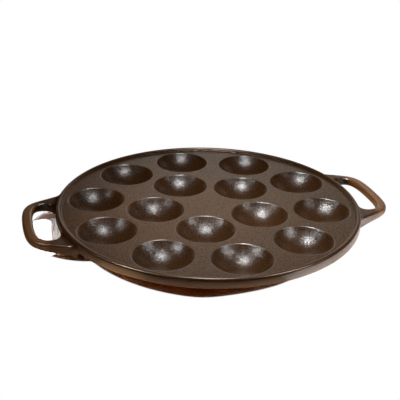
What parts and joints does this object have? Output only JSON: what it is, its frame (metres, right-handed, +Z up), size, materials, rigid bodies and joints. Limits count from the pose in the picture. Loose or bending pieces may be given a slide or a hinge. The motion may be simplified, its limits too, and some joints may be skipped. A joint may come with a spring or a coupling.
{
  "type": "poffertjes pan",
  "caption": "Round cast-iron griddle pan with shallow domed cups in rings, a raised rim bead and flat loop handles, for baking small puffy pancakes.",
  "frame": {"origin": "on the pan's axis, on the surface that its feet stand on", "axes": "+Z up along the pan's axis, +X through the middle of both handles"},
  "size_m": [0.2908, 0.24, 0.0174],
  "materials": {
    "seasoned_iron": "satin, seasoned, fine casting grain"
  },
  "bodies": {
    "root": {"griddle_plate": "seasoned_iron", "rim_bead": "seasoned_iron", "cup_inner_01": "seasoned_iron", "cup_inner_02": "seasoned_iron", "cup_inner_03": "seasoned_iron", "cup_inner_04": "seasoned_iron", "cup_inner_05": "seasoned_iron", "cup_outer_01": "seasoned_iron", "cup_outer_02": "seasoned_iron", "cup_outer_03": "seasoned_iron", "cup_outer_04": "seasoned_iron", "cup_outer_05": "seasoned_iron", "cup_outer_06": "seasoned_iron", "cup_outer_07": "seasoned_iron", "cup_outer_08": "seasoned_iron", "cup_outer_09": "seasoned_iron", "cup_outer_10": "seasoned_iron", "handle_right": "seasoned_iron", "handle_left": "seasoned_iron"}
  },
  "joints": []
}
